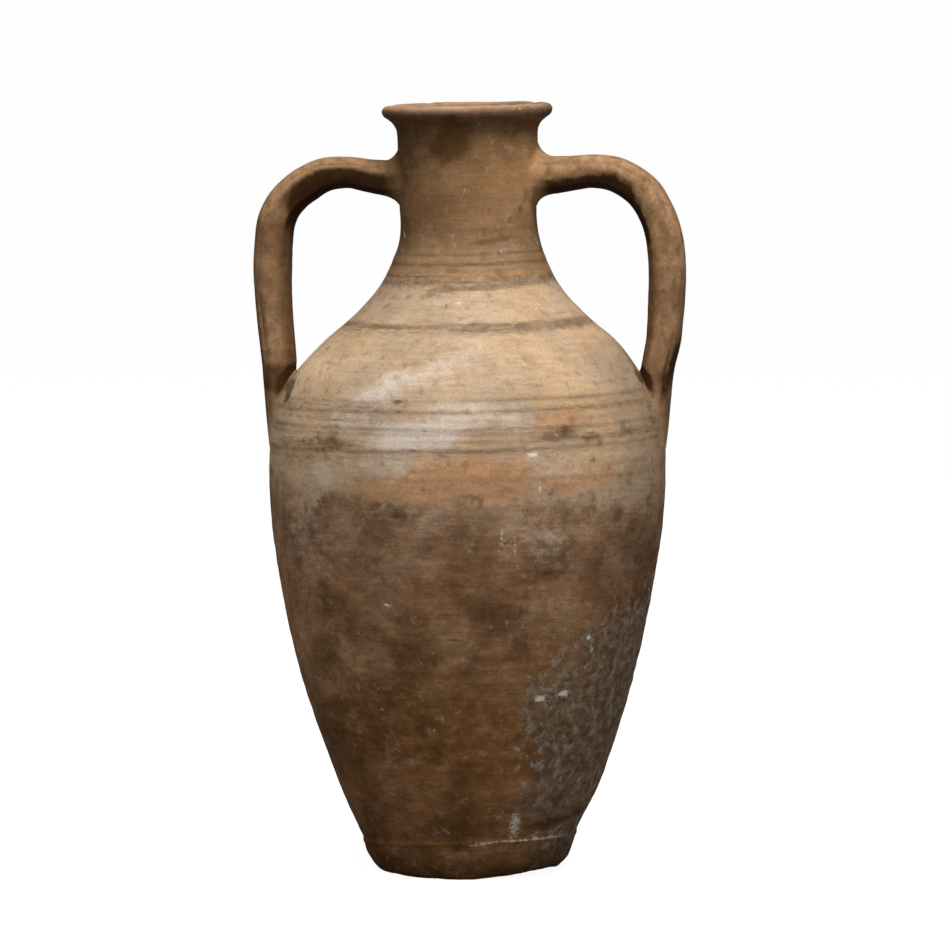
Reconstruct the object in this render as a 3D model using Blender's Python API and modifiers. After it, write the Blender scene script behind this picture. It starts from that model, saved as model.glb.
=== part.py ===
"""Two-handled storage jar (amphora) of fired clay, thrown in sections and joined.

Frame: metres, +Z up. The origin is the centre of the foot's resting face.
+X runs towards the right handle, and both handles lie in the XZ plane.

The jar is made the way a potter makes a tall one: a turned foot ring, a lower body
with the floor, a shoulder, a neck and a rim collar. Each section carries a raised key
on its top face that sits in a groove of the section above. The handles are pulled
straps with a short peg at each end, and the pegs sit in sockets in the neck and the
shoulder. Wherever two pieces meet there is a gap of 0.3 mm.
"""

import math

import bmesh
import bpy
from mathutils import Matrix, Vector

NAME = "amphora"
MM = 0.001

# Driving dimensions.
GAP = 0.3 * MM
SEGMENTS = 48
FOOT_JOINT = 26.5 * MM
BELLY_JOINT = 320 * MM
NECK_JOINT = 470 * MM
RIM_JOINT = 584 * MM

# The outer line of the walls from under the rim to the foot, as radius and height in
# millimetres.
WALL_LINE = (
    (54.6, 584),
    (53.2, 530),
    (53.0, 508),
    (57.0, 488),
    (67.8, 463),
    (87.4, 439),
    (113.3, 416),
    (133.0, 392),
    (148.0, 360),
    (154.2, 325),
    (153.4, 285),
    (146.5, 228),
    (128.2, 148),
    (101.9, 69),
    (83.4, 26.5),
)
OUTSIDE_STEPS = 2
INSIDE_STEPS = 1

# Wall thickness by height, in millimetres: thin in the neck and thick at the base.
WALL_THICKNESS = ((26.5, 10.5), (320, 8.6), (470, 7.6), (584, 7.6))

# The floor of the lower body, as radius and height in millimetres.
FLOOR_INSIDE = ((0, 28), (42, 29), (62, 33.5))
INSIDE_WALL_START = 48 * MM
FLOOR_UNDERSIDE = (0, 15.5)
FOOT_SEAT = (60, 16.5)

# The foot ring below its joint, from the outer edge down and round to the inside.
FOOT_LINE = ((80.8, 19), (77.4, 9.5), (73.6, 2.6), (70, 0), (57.5, 0), (55.4, 2), (56.6, 9))

# The rim collar above its joint, from its inner edge over the top and down outside.
RIM_LINE = (
    (48.6, 590),
    (52.4, 596.5),
    (55.6, 600),
    (62.4, 600),
    (65.0, 599),
    (65.9, 596.6),
    (64.2, 592.8),
    (60.3, 589.4),
    (56.9, 586.2),
)

# Keys of the ring joints.
KEY_HALF_WIDTH = 1.6 * MM
KEY_HEIGHT = 2.2 * MM

# Handles: half widths of the strap across and along the XZ plane, and the middle line
# of each, as distance from the jar's axis, height and swelling of the strap.
STRAP_ACROSS = 19.5 * MM
STRAP_ALONG = 13.6 * MM
STRAP_SIDES = 18
STRAP_STEPS = 3
RIGHT_ROUTE = (
    (46, 543, 1.25),
    (63, 545, 1.15),
    (80, 546.8, 1.04),
    (98, 548.4, 0.97),
    (118, 546, 1.00),
    (137, 535, 1.02),
    (147.8, 521, 1.03),
    (153.6, 502, 1.05),
    (155.2, 470, 1.07),
    (153, 424, 0.99),
    (150.8, 390, 0.93),
    (147, 362, 0.96),
    (137.5, 340, 0.94),
    (122, 326, 0.90),
)
LEFT_ROUTE = (
    (46, 541, 1.25),
    (62, 542.6, 1.13),
    (77, 544.6, 0.94),
    (94, 547.2, 0.91),
    (111, 544.5, 1.00),
    (124, 537.5, 1.07),
    (136, 528.5, 1.06),
    (145.5, 517, 1.04),
    (151.8, 502, 1.04),
    (155, 470, 1.06),
    (152.4, 424, 0.99),
    (150, 390, 0.93),
    (146.5, 362, 0.96),
    (137.5, 340, 0.94),
    (122, 326, 0.90),
)

# Pegs of the handles: radius, and where each one starts and ends along X.
PEG_RADIUS = 8.5 * MM
PEG_SIDES = 16
NECK_PEG_INSIDE = 49.6 * MM
NECK_PEG_OUTSIDE = 60 * MM
SHOULDER_PEG_HEIGHT = 354 * MM
SHOULDER_PEG_INSIDE = 145 * MM
SHOULDER_PEG_OUTSIDE = 154 * MM

SHARP_ANGLE = math.radians(32)

# Base colour and roughness of each piece.
CLAY = {
    "rim": ((0.40, 0.24, 0.14), 0.85),
    "neck": ((0.32, 0.18, 0.09), 0.85),
    "shoulder": ((0.58, 0.39, 0.24), 0.82),
    "lower_body": ((0.20, 0.10, 0.045), 0.82),
    "foot_ring": ((0.10, 0.045, 0.015), 0.86),
    "handle_left": ((0.30, 0.17, 0.09), 0.84),
    "handle_right": ((0.36, 0.21, 0.11), 0.84),
}


def clear_scene():
    for old in list(bpy.data.objects):
        bpy.data.objects.remove(old, do_unlink=True)


def new_collection(name):
    collection = bpy.data.collections.new(name)
    bpy.context.scene.collection.children.link(collection)
    return collection


def clay_material(name):
    """A Principled material with the piece's own colour and roughness."""
    colour, roughness = CLAY[name]
    material = bpy.data.materials.new(name + "_clay")
    material.use_nodes = True
    shader = material.node_tree.nodes["Principled BSDF"]
    shader.inputs["Base Color"].default_value = (*colour, 1.0)
    shader.inputs["Roughness"].default_value = roughness
    shader.inputs["Metallic"].default_value = 0.0
    return material


def points_in_metres(rows):
    return [Vector((r * MM, z * MM)) for r, z in rows]


def smooth_line(rows, steps):
    """Points along a Catmull-Rom curve through the given ones."""
    points = points_in_metres(rows)
    first = points[0] * 2 - points[1]
    last = points[-1] * 2 - points[-2]
    knots = [first, *points, last]
    line = []
    for before, start, end, after in zip(knots, knots[1:], knots[2:], knots[3:]):
        for step in range(steps):
            t = step / steps
            line.append(
                0.5
                * (
                    2 * start
                    + (end - before) * t
                    + (2 * before - 5 * start + 4 * end - after) * t**2
                    + (3 * start - before - 3 * end + after) * t**3
                )
            )
    line.append(points[-1])
    return line


def wall_thickness(height):
    """Thickness of the wall at a height, between the stated ones in proportion."""
    rows = points_in_metres((t, z) for z, t in WALL_THICKNESS)
    for low, high in zip(rows, rows[1:]):
        if height <= high.y:
            share = (height - low.y) / (high.y - low.y)
            return low.x + (high.x - low.x) * max(0.0, share)
    return rows[-1].x


def moved_outwards(line, distance):
    """The line with each point moved square to it, by distance(height)."""
    moved = []
    last = len(line) - 1
    for index, point in enumerate(line):
        along = line[min(index + 1, last)] - line[max(index - 1, 0)]
        square = Vector((-along.y, along.x)).normalized()
        moved.append(point + square * distance(point.y))
    return moved


def radius_at(line, height):
    """Radius of a line that runs from top to bottom, at one height."""
    for high, low in zip(line, line[1:]):
        if low.y <= height <= high.y:
            share = (high.y - height) / (high.y - low.y)
            return high.x + (low.x - high.x) * share
    nearest = line[0] if height > line[0].y else line[-1]
    return nearest.x


def stretch(line, top, bottom):
    """The part of a line from one height down to another."""
    between = [p for p in line if bottom + MM < p.y < top - MM]
    start = Vector((radius_at(line, top), top))
    end = Vector((radius_at(line, bottom), bottom))
    return [start, *between, end]


def joint_face(outer, inner, lift):
    """A keyed ring joint from its outer edge to its inner edge.

    With no lift it is the top of the lower piece, with its raised key. With a lift it
    is the underside of the piece above, moved up by that much, with its groove.
    """
    along = (inner - outer).normalized()
    up = Vector((along.y, -along.x))
    middle = (outer + inner) / 2
    reach = along * (KEY_HALF_WIDTH + lift)
    base = up * lift
    return [
        outer + base,
        middle - reach + base,
        middle + up * (KEY_HEIGHT + lift),
        middle + reach + base,
        inner + base,
    ]


def turned(name, profile, closed, collection):
    """A profile turned round the Z axis."""
    count = len(profile)
    edges = [(i, i + 1) for i in range(count - 1)]
    if closed:
        edges.append((count - 1, 0))
    mesh = bpy.data.meshes.new(name)
    mesh.from_pydata([(p.x, 0.0, p.y) for p in profile], edges, [])
    obj = bpy.data.objects.new(name, mesh)
    collection.objects.link(obj)
    screw = obj.modifiers.new("turn", "SCREW")
    screw.axis = "Z"
    screw.angle = math.tau
    screw.steps = SEGMENTS
    screw.render_steps = SEGMENTS
    screw.use_merge_vertices = True
    screw.merge_threshold = 0.00005
    screw.use_smooth_shade = True
    return obj


def as_cutter(obj):
    obj.hide_render = True
    obj.display_type = "WIRE"
    return obj


def add_boolean(obj, other, operation):
    boolean = obj.modifiers.new(operation.lower() + "_" + other.name, "BOOLEAN")
    boolean.operation = operation
    boolean.solver = "EXACT"
    boolean.object = other


class Outline:
    """The wall's outer and inner lines, and the edges where its sections meet."""

    def __init__(self):
        self.outer = smooth_line(WALL_LINE, OUTSIDE_STEPS)
        coarse = smooth_line(WALL_LINE, INSIDE_STEPS)
        self.inner = moved_outwards(coarse, lambda z: -wall_thickness(z))

    def edges(self, height):
        outer = Vector((radius_at(self.outer, height), height))
        inner = Vector((radius_at(self.inner, height), height))
        return outer, inner

    def seat(self):
        """Outer and inner edge of the sloping face that the foot ring is joined to."""
        outer = self.outer[-1].copy()
        inner = Vector(FOOT_SEAT) * MM
        return outer, inner


def section(name, outline, top, bottom, collection):
    """A wall section between two joints: outer side down, groove, inner side up, key."""
    outside = stretch(outline.outer, top, bottom)[1:-1]
    inside = stretch(outline.inner, top, bottom)[1:-1]
    groove = joint_face(*outline.edges(bottom), GAP)
    key = joint_face(*outline.edges(top), 0.0)
    profile = [*outside, *groove, *reversed(inside), *reversed(key)]
    return turned(name, profile, True, collection)


def make_foot_ring(outline, collection):
    """The ring foot, with a flat resting face and a key along its sloping top."""
    key = joint_face(*outline.seat(), 0.0)
    lowered = [point - Vector((0.0, GAP)) for point in key]
    profile = [*points_in_metres(FOOT_LINE), *reversed(lowered)]
    return turned("foot_ring", profile, True, collection)


def make_lower_body(outline, collection):
    """The lower half of the belly with the floor, open at the top."""
    floor = points_in_metres(FLOOR_INSIDE)
    inside = stretch(outline.inner, BELLY_JOINT, INSIDE_WALL_START)
    key = joint_face(*outline.edges(BELLY_JOINT), 0.0)
    outside = stretch(outline.outer, BELLY_JOINT, FOOT_JOINT)[1:-1]
    seat = joint_face(*outline.seat(), 0.0)
    centre = Vector(FLOOR_UNDERSIDE) * MM
    inside_up = list(reversed(inside[1:]))
    profile = [*floor, *inside_up, *reversed(key), *outside, *seat, centre]
    return turned("lower_body", profile, False, collection)


def make_shoulder(outline, collection):
    return section("shoulder", outline, NECK_JOINT, BELLY_JOINT, collection)


def make_neck(outline, collection):
    return section("neck", outline, RIM_JOINT, NECK_JOINT, collection)


def make_rim(outline, collection):
    """The flared collar of the mouth, with a flat land round its top."""
    groove = joint_face(*outline.edges(RIM_JOINT), GAP)
    profile = [*groove, *points_in_metres(RIM_LINE)]
    return turned("rim", profile, True, collection)


def make_skin(outline, cutters):
    """The jar's outer shape as one solid, a gap larger all round, to cut the straps."""
    grown = moved_outwards(outline.outer, lambda z: GAP)
    top = Vector((0.0, grown[0].y))
    bottom = Vector((0.0, grown[-1].y))
    return as_cutter(turned("jar_skin", [top, *grown, bottom], False, cutters))


def oval(name, half_x, half_y, sides):
    """A closed oval curve, the cross-section of a strap."""
    curve = bpy.data.curves.new(name, "CURVE")
    curve.dimensions = "2D"
    curve.fill_mode = "NONE"
    spline = curve.splines.new("POLY")
    spline.points.add(sides - 1)
    for index, point in enumerate(spline.points):
        angle = math.tau * index / sides
        point.co = (half_x * math.cos(angle), half_y * math.sin(angle), 0.0, 1.0)
    spline.use_cyclic_u = True
    return bpy.data.objects.new(name, curve)


def strap_curve(name, route, side, cross_section):
    """The strap's middle line as a curve in the XZ plane, with the oval swept along it."""
    curve = bpy.data.curves.new(name, "CURVE")
    curve.dimensions = "3D"
    curve.resolution_u = STRAP_STEPS
    curve.render_resolution_u = STRAP_STEPS
    curve.bevel_mode = "OBJECT"
    curve.bevel_object = cross_section
    curve.use_fill_caps = True
    spline = curve.splines.new("BEZIER")
    spline.bezier_points.add(len(route) - 1)
    for point, (x, z, swelling) in zip(spline.bezier_points, route):
        point.co = (side * x * MM, 0.0, z * MM)
        point.radius = swelling
        point.handle_left_type = "AUTO"
        point.handle_right_type = "AUTO"
    return bpy.data.objects.new(name + "_line", curve)


def mesh_from_curve(name, source, collection):
    """A closed mesh object from a swept curve, with the caps welded on."""
    bpy.context.view_layer.update()
    evaluated = source.evaluated_get(bpy.context.evaluated_depsgraph_get())
    mesh = bpy.data.meshes.new_from_object(evaluated)
    mesh.name = name
    bm = bmesh.new()
    bm.from_mesh(mesh)
    bmesh.ops.remove_doubles(bm, verts=bm.verts, dist=0.00001)
    bmesh.ops.recalc_face_normals(bm, faces=bm.faces)
    bm.to_mesh(mesh)
    bm.free()
    obj = bpy.data.objects.new(name, mesh)
    obj.matrix_world = source.matrix_world
    collection.objects.link(obj)
    bpy.data.objects.remove(source, do_unlink=True)
    return obj


def peg(name, start, end, growth, cutters):
    """A round peg between two points along X, made larger all round by growth."""
    radius = PEG_RADIUS + growth
    half_side = Matrix.Rotation(math.pi / PEG_SIDES, 4, "Z")
    mesh = bpy.data.meshes.new(name)
    bm = bmesh.new()
    bmesh.ops.create_cone(
        bm,
        cap_ends=True,
        segments=PEG_SIDES,
        radius1=radius,
        radius2=radius,
        depth=abs(end.x - start.x) + growth * 2,
        matrix=half_side,
    )
    bm.to_mesh(mesh)
    bm.free()
    obj = bpy.data.objects.new(name, mesh)
    obj.rotation_euler = (0.0, math.pi / 2, 0.0)
    obj.location = (start + end) / 2
    cutters.objects.link(obj)
    return as_cutter(obj)


def peg_ends(route, side):
    """Start and end of the neck peg and of the shoulder peg of one handle."""
    neck_height = route[1][1] * MM
    neck_start = Vector((side * NECK_PEG_INSIDE, 0.0, neck_height))
    neck_end = Vector((side * NECK_PEG_OUTSIDE, 0.0, neck_height))
    low_start = Vector((side * SHOULDER_PEG_INSIDE, 0.0, SHOULDER_PEG_HEIGHT))
    low_end = Vector((side * SHOULDER_PEG_OUTSIDE, 0.0, SHOULDER_PEG_HEIGHT))
    return (neck_start, neck_end), (low_start, low_end)


def make_handle(name, route, side, cross_section, skin, walls, collection, cutters):
    """One strap handle, cut to the wall, with its pegs, and their sockets in the walls."""
    source = strap_curve(name, route, side, cross_section)
    bpy.context.scene.collection.objects.link(source)
    handle = mesh_from_curve(name, source, collection)
    add_boolean(handle, skin, "DIFFERENCE")
    for wall, (start, end) in zip(walls, peg_ends(route, side)):
        tag = name + "_" + wall.name
        add_boolean(handle, peg(tag + "_peg", start, end, 0.0, cutters), "UNION")
        add_boolean(wall, peg(tag + "_socket", start, end, GAP, cutters), "DIFFERENCE")
    return handle


def finish_piece(obj):
    """Smooth shading with sharp joint edges, and the piece's own clay."""
    obj.data.materials.clear()
    obj.data.materials.append(clay_material(obj.name))
    if obj.data.polygons:
        obj.data.shade_smooth()
        obj.data.set_sharp_from_angle(angle=SHARP_ANGLE)


def main():
    clear_scene()
    parts = new_collection(NAME)
    cutters = new_collection(NAME + "_cutters")
    outline = Outline()
    make_foot_ring(outline, parts)
    make_lower_body(outline, parts)
    shoulder = make_shoulder(outline, parts)
    neck = make_neck(outline, parts)
    make_rim(outline, parts)
    skin = make_skin(outline, cutters)
    strap_section = as_cutter(oval("strap_section", STRAP_ACROSS, STRAP_ALONG, STRAP_SIDES))
    cutters.objects.link(strap_section)
    walls = (neck, shoulder)
    make_handle("handle_right", RIGHT_ROUTE, 1, strap_section, skin, walls, parts, cutters)
    make_handle("handle_left", LEFT_ROUTE, -1, strap_section, skin, walls, parts, cutters)
    for obj in parts.objects:
        finish_piece(obj)


main()
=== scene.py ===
"""The looks of a two-handled clay jar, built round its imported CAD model.

Each CAD node is replaced by one fine closed mesh of the same piece. The wall's four
turned sections and the foot are cut from one surface, so their relief and their
shading run on from piece to piece, as they do where a potter has wiped the joints
smooth. The handles are lofted straps that spread out onto the wall.

Metres, +Z up, the viewer in front at -Y. Lengths below are in millimetres where a
name or a table says so. "Turn" is the angle round the jar from the viewer's side, in
degrees, towards the viewer's right. "Level" is the height along the jar.
"""

import math
from itertools import product

import bpy
import numpy as np
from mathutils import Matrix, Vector


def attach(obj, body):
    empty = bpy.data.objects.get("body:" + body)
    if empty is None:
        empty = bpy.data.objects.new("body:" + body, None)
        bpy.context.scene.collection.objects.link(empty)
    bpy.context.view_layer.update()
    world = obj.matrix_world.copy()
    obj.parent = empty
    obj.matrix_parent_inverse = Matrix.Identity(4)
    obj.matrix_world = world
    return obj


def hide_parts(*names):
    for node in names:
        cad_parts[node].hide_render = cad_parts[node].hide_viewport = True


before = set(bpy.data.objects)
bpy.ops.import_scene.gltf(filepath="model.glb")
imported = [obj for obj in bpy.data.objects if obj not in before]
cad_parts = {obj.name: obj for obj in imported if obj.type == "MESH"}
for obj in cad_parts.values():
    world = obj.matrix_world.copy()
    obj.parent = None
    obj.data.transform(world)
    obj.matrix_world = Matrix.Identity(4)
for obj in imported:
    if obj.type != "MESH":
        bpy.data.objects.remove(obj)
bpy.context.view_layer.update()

MM = 0.001
COLUMNS = 448
INSIDE_SPACING = 8 * MM
LINE_STEPS = 40

# ---------------------------------------------------------------- the viewer
VIEW_AZIMUTH = math.radians(7.0)
VIEW_DISTANCE = 5.6
VIEW_HEIGHT = 0.765
LENS = 271.7
SENSOR = 36.0
AIM_RIGHT = 6.3 * MM
AIM_HEIGHT = 310.3 * MM

# ---------------------------------------------------------------- the stage
FLOOR_HALF = 80.0
FLOOR_SEEN = 0.26
FLOOR_BOUNCED = 0.25
FLOOR_GLOW = 0.94
BACKDROP_SEEN = 1.0
BACKDROP_LIGHT = 0.16
JAR_MIDDLE = 0.35
# Softboxes: name, turn and elevation in degrees, distance and size in metres, and watts.
SOFTBOXES = (("key", 40, 66, 2.4, 1.0, 46), ("front", -6, 50, 3.2, 2.4, 62))

# ---------------------------------------------------------------- outlines
# Radius and height in millimetres, from the throat over the lip and down the outside
# to the inner edge of the foot.
THROAT_AND_LIP = (
    (47.2, 584), (48.2, 589), (50.8, 594.4), (54.4, 598.4), (58.4, 600.0), (62.2, 599.9),
    (65.0, 598.4), (65.9, 595.8), (64.8, 592.8), (61.6, 590.2), (58.2, 587.4), (55.8, 584),
)
WALL = (
    (54.3, 579), (53.9, 566), (53.4, 540), (52.6, 510), (54.2, 494.5), (58.6, 481),
    (66.8, 463), (78.6, 447), (94.8, 431), (112.6, 416), (127.0, 400), (138.0, 384),
    (147.0, 361.5), (152.8, 339), (154.6, 316), (153.8, 288), (150.9, 258), (143.0, 211),
    (132.5, 164), (118.4, 116), (101.9, 69), (90.2, 43.5), (83.6, 30.2),
)
FOOT = (
    (83.1, 28.2), (83.3, 26.0), (82.0, 23.2), (79.8, 16), (75.4, 7.4), (71.6, 1.9),
    (68.2, 0.2), (63, 0), (58.2, 0.3), (55.8, 2.2), (55.6, 8), (57.4, 15.9),
)
# The inside wall and floor, from the throat down to the middle of the floor.
INSIDE = (
    (47.2, 584), (46.2, 560), (45.3, 510), (47.2, 492), (55.2, 468), (70, 447), (104, 414),
    (121, 391), (137, 358), (145.8, 322), (144.6, 285), (137, 225), (119, 147), (93, 72),
    (80, 46), (62, 33.5), (40, 29), (0.5, 28),
)
UNDERSIDE = ((57.4, 15.9), (30, 15.2), (0.5, 15.5))

# Levels at which the sections part.
RIM_JOINT = 584 * MM
NECK_JOINT = 470 * MM
BELLY_JOINT = 320 * MM

# ---------------------------------------------------------------- handles
# Distance from the jar's axis, height, half thickness and half width, in millimetres.
RIGHT_ROUTE = (
    (69, 545.8, 14.8, 20.4), (82, 547.0, 14.0, 19.8), (98, 548.4, 13.2, 19.2),
    (117, 545.4, 13.6, 19.0), (135, 534.5, 13.9, 19.2), (145.6, 520, 14.0, 19.5),
    (152.0, 501, 14.3, 20.0), (155.2, 470, 14.5, 20.0), (153.0, 424, 13.5, 19.5),
    (149.6, 398, 12.6, 20.0),
)
LEFT_ROUTE = (
    (69, 543.8, 13.6, 20.4), (80, 545.2, 12.8, 19.8), (94, 547.2, 12.4, 19.2),
    (112.5, 545.6, 13.6, 19.0), (126.5, 538.8, 14.6, 19.2), (138.6, 529.6, 14.4, 19.3),
    (147.4, 518, 14.1, 19.5), (153.0, 502, 14.2, 19.8), (155.0, 470, 14.4, 20.0),
    (152.4, 424, 13.5, 19.5), (148.6, 398, 12.6, 20.0),
)
STRAP_SIDES = 96
STRAP_SPACING = 1.6 * MM
STRAP_SQUARENESS = 3.0
# A root's rings start at the strap's own end ring, and two more lie within the wall.
ROOT_RINGS = 22
ROOT_ROWS = ROOT_RINGS + 1
# How far a root's sides bow, leaving the strap and meeting the wall.
NECK_BULGE = (1.0, 1.0)
SHOULDER_BULGE = (0.75, 0.9)
# Shade on the front of each arch, for the right strap (1) and the left (-1): how far
# round the strap it starts and is full, and how level the strap runs there.
STRAP_SHADE = {1: (0.12, -0.62, 0.2, 0.7), -1: (0.55, -0.30, 0.0, 0.95)}
# Lines drawn along the straps by the potter's fingers: angle round the strap from its
# outer side, half width in degrees, and rise in mm.
STRAP_CREASES = (
    (-62, 7, -0.9), (-84, 10, 0.7), (-118, 9, 0.9), (64, 8, -0.7), (2, 16, -0.8),
)


# ================================================================ curves and noise
def smooth_line(rows):
    """Points along a Catmull-Rom curve through rows of numbers."""
    rows = np.array(rows, float)
    knots = np.vstack([2 * rows[0] - rows[1], rows, 2 * rows[-1] - rows[-2]])
    t = (np.arange(LINE_STEPS) / LINE_STEPS)[:, None]
    pieces = []
    for before, start, end, after in zip(knots, knots[1:], knots[2:], knots[3:]):
        bend = 2 * before - 5 * start + 4 * end - after
        twist = 3 * start - before - 3 * end + after
        pieces.append(0.5 * (2 * start + (end - before) * t + bend * t**2 + twist * t**3))
    pieces.append(rows[-1:])
    return np.vstack(pieces)


def lengths_along(line):
    steps = np.linalg.norm(np.diff(line, axis=0), axis=1)
    return np.concatenate([[0.0], np.cumsum(steps)])


def resampled(line, spacing):
    """The line's points again, evenly spaced along it, with its ends kept."""
    reach = lengths_along(line[:, :2])
    count = max(2, round(reach[-1] / spacing) + 1)
    places = np.linspace(0.0, reach[-1], count)
    return np.stack([np.interp(places, reach, column) for column in line.T], axis=1)


def cut_at(line, height, after=0):
    """Index of the point of a falling line nearest to a height, from an index on."""
    return after + int(np.argmin(np.abs(line[after:, 1] - height)))


def smoothstep(low, high, value):
    t = np.clip((value - low) / (high - low), 0.0, 1.0)
    return t * t * (3 - 2 * t)


def bell(distance, width):
    return np.exp(-((distance / width) ** 2))


def unit(vector):
    return vector / np.maximum(np.linalg.norm(vector, axis=-1, keepdims=True), 1e-12)


def value_noise(points, size, seed):
    """Smooth noise from -1 to 1 over points (..., 3), with features of that size."""
    place = points / size + np.array([0.37, 0.61, 0.13]) * seed
    cell = np.floor(place).astype(np.int64)
    part = place - cell
    part = part * part * (3 - 2 * part)
    total = np.zeros(points.shape[:-1])
    for corner in product((0, 1), repeat=3):
        near = cell + np.array(corner)
        mixed = near[..., 0] * 73856093 ^ near[..., 1] * 19349663 ^ near[..., 2] * 83492791
        mixed = (mixed ^ seed * 2654435761) & 0xFFFFFFFF
        mixed = (mixed ^ (mixed >> 15)) * 2246822519 & 0xFFFFFFFF
        mixed = (mixed ^ (mixed >> 13)) * 3266489917 & 0xFFFFFFFF
        mixed = mixed ^ (mixed >> 16)
        weight = np.prod(np.where(corner, part, 1 - part), axis=-1)
        total += weight * (mixed / 0x7FFFFFFF - 1)
    return total


def layered_noise(points, size, seed, layers=3):
    """Noise with finer and weaker layers added."""
    total = 0.0
    for layer in range(layers):
        total = total + value_noise(points, size / 2**layer, seed + layer) / 2**layer
    return total / 1.6


# ================================================================ the wall's surface
def turn_of(points):
    """Degrees round the jar from the viewer's side, from -180 to 180."""
    angle = np.degrees(np.arctan2(points[..., 1], points[..., 0]))
    front = math.degrees(VIEW_AZIMUTH) - 90
    return (angle - front + 180) % 360 - 180


class Place:
    """Where points of the wall are: base point, turn in degrees and level in mm."""

    def __init__(self, base):
        self.base = base
        self.turn = turn_of(base)
        self.level = base[..., 2] / MM
        self.side = np.sin(np.radians(self.turn))
        self.front = np.cos(np.radians(self.turn))

    def around(self, turn):
        """Degrees from a turn, by the shorter way."""
        return (self.turn - turn + 180) % 360 - 180


# Turned lines round the shoulder: level in front, rise to the right, depth in mm,
# half width in mm, and the turns between which each shows.
TURNED_LINES = (
    (378.0, 1.5, 0.45, 0.9, -8, 150),
    (376.5, 2.0, 0.25, 0.8, -175, -20),
    (369.0, 2.5, 0.60, 1.1, -180, 180),
    (362.5, 1.5, 0.20, 0.9, -60, 70),
    (355.8, 1.5, 0.55, 1.1, -180, 180),
    (352.2, 2.0, 0.30, 0.8, -110, 40),
    (347.0, 2.0, 0.35, 0.9, -20, 175),
    (339.6, 3.0, 0.60, 1.2, -180, 180),
    (334.5, 3.0, 0.22, 0.9, -180, -10),
    (318.0, 1.0, 0.18, 0.9, -40, 90),
    (486.0, 0.5, 0.22, 1.2, -180, 180),
    (478.5, 0.8, 0.28, 1.3, -180, 180),
    (503.0, 0.5, 0.15, 1.5, -80, 60),
)


def shown_between(place, start, end, past, before):
    """1 between two turns, fading out at them, and 1 everywhere for a full round."""
    reach = (end - start) / 2
    if reach >= 179:
        return 1.0
    aside = np.abs(place.around((start + end) / 2))
    return smoothstep(reach + past, reach - before, aside)


def line_strength(place, line, spread=1.0):
    """How strongly one turned line shows at each point, from 0 to 1."""
    height, rise, _, half_width, start, end = line
    wander = 0.7 * value_noise(place.base * [1, 1, 0.2], 0.06, 31)
    middle = height + rise * place.side - (1 - place.front) + wander
    shown = shown_between(place, start, end, 4, 12)
    patchy = 0.72 + 0.28 * value_noise(place.base, 0.02, 32)
    return bell(place.level - middle, half_width * spread) * shown * patchy


def foot_rise(place):
    """How far the ridge above the foot lies from its mean level, in millimetres."""
    angle = np.arctan2(place.base[..., 1], place.base[..., 0])
    near = smoothstep(0.0, 24.0, place.level) * smoothstep(78.0, 30.0, place.level)
    return near * 3.8 * (np.cos(angle) - np.sin(angle))


def lime_cover(place):
    """The broad grey limy stain low on the right, from 0 to 1."""
    edge = 20 + 0.13 * np.abs(place.level - 105)
    edge = edge + 9 * value_noise(place.base, 0.035, 41) + 4 * value_noise(place.base, 0.012, 42)
    sideways = smoothstep(edge - 8, edge + 12, place.turn)
    sideways = sideways * smoothstep(150, 118, place.turn)
    top = 170 + 0.85 * np.clip(place.turn - 20, 0, 60) + 14 * value_noise(place.base, 0.03, 43)
    return sideways * smoothstep(top + 34, top - 16, place.level)


# Depths and heights in millimetres, but for the share of its depth a turned line keeps.
LINE_SHARE = 0.7
PIT_DEPTH = 0.22
CRUST_HEIGHT = 0.35
RUBBED_DEPTH = 5.0
RUBBED_TURN = 55
RUBBED_HALF_TURN = 38


def relief(place):
    """Height of the surface above the plain outline, in millimetres."""
    base = place.base
    rings = base * [0.12, 0.12, 1.0]
    body = smoothstep(500, 430, place.level)
    height = 0.6 + 0.6 * value_noise(base, 0.12, 1)
    height = height + 0.30 * value_noise(base, 0.04, 2)
    height = height + 0.12 * layered_noise(base, 0.013, 3)
    height = height + (0.10 + 0.12 * body) * value_noise(rings, 0.0055, 6)
    height = height + 0.05 * value_noise(base, 0.0035, 8)
    for line in TURNED_LINES:
        height = height - LINE_SHARE * line[2] * line_strength(place, line)
    pits = smoothstep(0.62, 0.85, value_noise(base, 0.0065, 9))
    height = height - PIT_DEPTH * pits
    crust = lime_cover(place) * smoothstep(-0.2, 0.7, layered_noise(base, 0.009, 11))
    return height + CRUST_HEIGHT * crust


# Nicks knocked out of the lip: turn, level, half length in degrees and depth in mm.
LIP_NICKS = (
    (-38, 599.0, 5.0, 0.7), (-12, 591.5, 7.0, 0.6), (21, 599.5, 4.0, 0.5),
    (64, 597.0, 6.0, 0.8), (118, 600.0, 5.0, 1.6), (-104, 599.0, 8.0, 1.2),
    (-150, 598.0, 4.0, 1.0), (166, 593.0, 5.0, 1.0),
)


def lip_wear(place):
    """Wear and nicks of the lip, in millimetres."""
    near = smoothstep(578, 590, place.level)
    height = 0.25 * value_noise(place.base, 0.02, 21) + 0.12 * value_noise(place.base, 0.006, 22)
    for turn, level, half_turn, depth in LIP_NICKS:
        here = bell(place.around(turn), half_turn) * bell(place.level - level, 3.4)
        height = height - depth * here
    return height * near


def foot_wear(place):
    """Chipping and rubbing of the foot, in millimetres."""
    near = smoothstep(34, 20, place.level)
    height = 0.5 * value_noise(place.base, 0.02, 24) + 0.25 * value_noise(place.base, 0.007, 25)
    rubbed = bell(place.around(RUBBED_TURN), RUBBED_HALF_TURN) * smoothstep(11, 2, place.level)
    return (height - 0.25) * near - RUBBED_DEPTH * rubbed


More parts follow.
